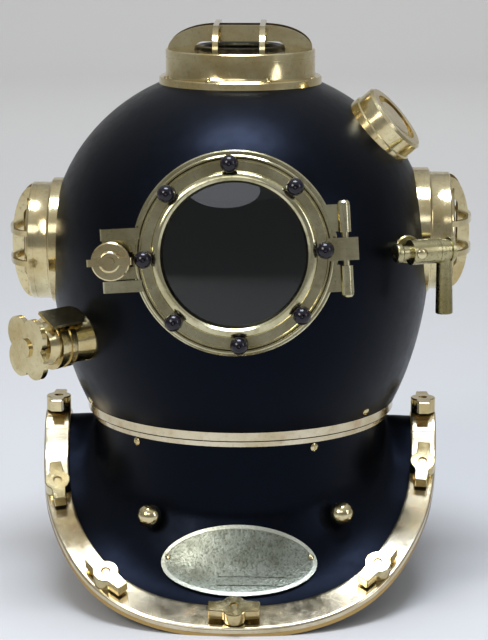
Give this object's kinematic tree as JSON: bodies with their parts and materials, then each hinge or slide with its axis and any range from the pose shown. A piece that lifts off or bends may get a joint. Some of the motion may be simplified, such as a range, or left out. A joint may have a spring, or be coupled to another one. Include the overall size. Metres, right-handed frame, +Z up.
{
  "type": "diving helmet",
  "caption": "Surface-supplied diving helmet: black spun bonnet and breastplate with brass ports, hinged faceplate, valves and studded clamping bands.",
  "frame": {"origin": "on the floor below the neck's axis, at the bottom centre of the bounding box", "axes": "+Z up, the faceplate looks along -Y, +X to the right seen from the front"},
  "size_m": [0.378, 0.3793, 0.455],
  "materials": {
    "aged_plate": "aged grey-gold brass",
    "black_painted_copper": "satin black paint over spun copper",
    "black_plastic": "moulded black plastic",
    "blackened_nuts": "gloss black lacquer over brass",
    "dull_brass": "dull khaki brass",
    "polished_brass": "polished pale brass",
    "port_glass": "polished plate glass",
    "rubber": "matt black rubber",
    "spring_steel": "bright spring steel"
  },
  "bodies": {
    "breastplate": {"breastplate": "black_painted_copper", "neck_ring_lower": "dull_brass", "neck_gasket": "rubber", "brail_front": "polished_brass", "brail_back": "polished_brass", "brail_shoulders": "polished_brass", "brail_studs": "polished_brass", "strap_knobs": "polished_brass", "name_plate": "aged_plate", "breastplate_screws": "polished_brass"},
    "bonnet": {"air_check_valve_body": "polished_brass", "air_gooseneck": "polished_brass", "bonnet": "black_painted_copper", "bonnet_screws": "polished_brass", "catch_bracket": "polished_brass", "exhaust_body": "polished_brass", "exhaust_cap": "polished_brass", "exhaust_ring_nut": "polished_brass", "front_port_frame": "polished_brass", "front_port_gasket": "rubber", "hinge_pin": "polished_brass", "latch_and_catch_pins": "polished_brass", "left_port_collar": "polished_brass", "neck_ring_upper": "dull_brass", "phone_gooseneck": "polished_brass", "right_port_collar": "polished_brass", "side_port_bezel": "polished_brass", "side_port_glass": "port_glass", "side_port_guard": "polished_brass", "spitcock_body": "polished_brass", "telephone_cap": "polished_brass", "telephone_receiver": "black_plastic", "top_port_bezel": "polished_brass", "top_port_collar": "polished_brass", "top_port_glass": "port_glass", "top_port_guard": "polished_brass"},
    "faceplate": {"faceplate_ring": "polished_brass", "faceplate_glass": "port_glass", "faceplate_bezel": "polished_brass", "faceplate_nuts": "blackened_nuts"},
    "swing_bolt": {"swing_bolt": "polished_brass"},
    "latch_nut": {"latch_wing_nut": "polished_brass"},
    "exhaust_wheel": {"exhaust_handwheel": "polished_brass"},
    "exhaust_poppet": {"exhaust_valve": "rubber", "chin_button": "polished_brass", "exhaust_spring": "spring_steel"},
    "spitcock": {"spitcock_plug": "polished_brass"},
    "catch": {"catch_lever": "polished_brass"},
    "wing_nut_01": {"wing_nut_01": "polished_brass"},
    "wing_nut_02": {"wing_nut_02": "polished_brass"},
    "wing_nut_03": {"wing_nut_03": "polished_brass"},
    "wing_nut_04": {"wing_nut_04": "polished_brass"},
    "wing_nut_05": {"wing_nut_05": "polished_brass"},
    "wing_nut_06": {"wing_nut_06": "polished_brass"},
    "wing_nut_07": {"wing_nut_07": "polished_brass"},
    "wing_nut_08": {"wing_nut_08": "polished_brass"},
    "wing_nut_09": {"wing_nut_09": "polished_brass"},
    "wing_nut_10": {"wing_nut_10": "polished_brass"},
    "wing_nut_11": {"wing_nut_11": "polished_brass"},
    "wing_nut_12": {"wing_nut_12": "polished_brass"}
  },
  "joints": [
    {"name": "bonnet_turn", "type": "hinge", "parent": "breastplate", "child": "bonnet", "pos_m": [0, 0, 0.138], "axis": [0, 0, 1], "range_deg": [0, 45]},
    {"name": "faceplate_swing", "type": "hinge", "parent": "bonnet", "child": "faceplate", "pos_m": [0.08326, -0.16418, 0.299], "axis": [-0.0576, 0.1217, 0.9909], "range_deg": [0, 110]},
    {"name": "swing_bolt_pivot", "type": "hinge", "parent": "bonnet", "child": "swing_bolt", "pos_m": [-0.09235, -0.14755, 0.28675], "axis": [0.0576, -0.1217, -0.9909], "range_deg": [0, 80]},
    {"name": "latch_nut_turn", "type": "hinge", "parent": "swing_bolt", "child": "latch_nut", "pos_m": [-0.09235, -0.17137, 0.28968], "axis": [0, -0.9925, 0.1219], "continuous": true},
    {"name": "exhaust_wheel_turn", "type": "hinge", "parent": "bonnet", "child": "exhaust_wheel", "pos_m": [-0.16351, -0.12384, 0.21208], "axis": [-0.7565, -0.653, -0.0349], "continuous": true},
    {"name": "chin_button_push", "type": "slide", "parent": "bonnet", "child": "exhaust_poppet", "axis": [-0.7565, -0.653, -0.0349], "range_m": [0, 0.006], "stiffness_N_per_m": 400, "springref_m": -0.004},
    {"name": "spitcock_turn", "type": "hinge", "parent": "bonnet", "child": "spitcock", "pos_m": [0.13979, -0.10382, 0.28577], "axis": [-0.9205, -0.3907, 0], "range_deg": [0, 90]},
    {"name": "catch_lift", "type": "hinge", "parent": "bonnet", "child": "catch", "pos_m": [0, 0.14404, 0.163], "axis": [1, 0, 0], "range_deg": [0, 90]},
    {"name": "wing_nut_01_turn", "type": "hinge", "parent": "breastplate", "child": "wing_nut_01", "pos_m": [0.1525, 0, 0.13195], "axis": [0, 0, 1], "continuous": true},
    {"name": "wing_nut_02_turn", "type": "hinge", "parent": "breastplate", "child": "wing_nut_02", "pos_m": [0.15013, 0.0459, 0.0941], "axis": [0, 0.5836, 0.812], "continuous": true},
    {"name": "wing_nut_03_turn", "type": "hinge", "parent": "breastplate", "child": "wing_nut_03", "pos_m": [0.11128, 0.13499, 0.03675], "axis": [0, 0.5714, 0.8207], "continuous": true},
    {"name": "wing_nut_04_turn", "type": "hinge", "parent": "breastplate", "child": "wing_nut_04", "pos_m": [0, 0.1745, 0.01212], "axis": [0, 0.5032, 0.8642], "continuous": true},
    {"name": "wing_nut_05_turn", "type": "hinge", "parent": "breastplate", "child": "wing_nut_05", "pos_m": [-0.10115, 0.14445, 0.03031], "axis": [0, 0.551, 0.8345], "continuous": true},
    {"name": "wing_nut_06_turn", "type": "hinge", "parent": "breastplate", "child": "wing_nut_06", "pos_m": [-0.14672, 0.06532, 0.08086], "axis": [0, 0.5472, 0.837], "continuous": true},
    {"name": "wing_nut_07_turn", "type": "hinge", "parent": "breastplate", "child": "wing_nut_07", "pos_m": [-0.1525, 0, 0.13195], "axis": [0, 0, 1], "continuous": true},
    {"name": "wing_nut_08_turn", "type": "hinge", "parent": "breastplate", "child": "wing_nut_08", "pos_m": [-0.14672, -0.06532, 0.08086], "axis": [0, -0.5472, 0.837], "continuous": true},
    {"name": "wing_nut_09_turn", "type": "hinge", "parent": "breastplate", "child": "wing_nut_09", "pos_m": [-0.10115, -0.14445, 0.03031], "axis": [0, -0.551, 0.8345], "continuous": true},
    {"name": "wing_nut_10_turn", "type": "hinge", "parent": "breastplate", "child": "wing_nut_10", "pos_m": [0, -0.1745, 0.01212], "axis": [0, -0.5032, 0.8642], "continuous": true},
    {"name": "wing_nut_11_turn", "type": "hinge", "parent": "breastplate", "child": "wing_nut_11", "pos_m": [0.11128, -0.13499, 0.03675], "axis": [0, -0.5714, 0.8207], "continuous": true},
    {"name": "wing_nut_12_turn", "type": "hinge", "parent": "breastplate", "child": "wing_nut_12", "pos_m": [0.15013, -0.0459, 0.0941], "axis": [0, -0.5836, 0.812], "continuous": true}
  ]
}
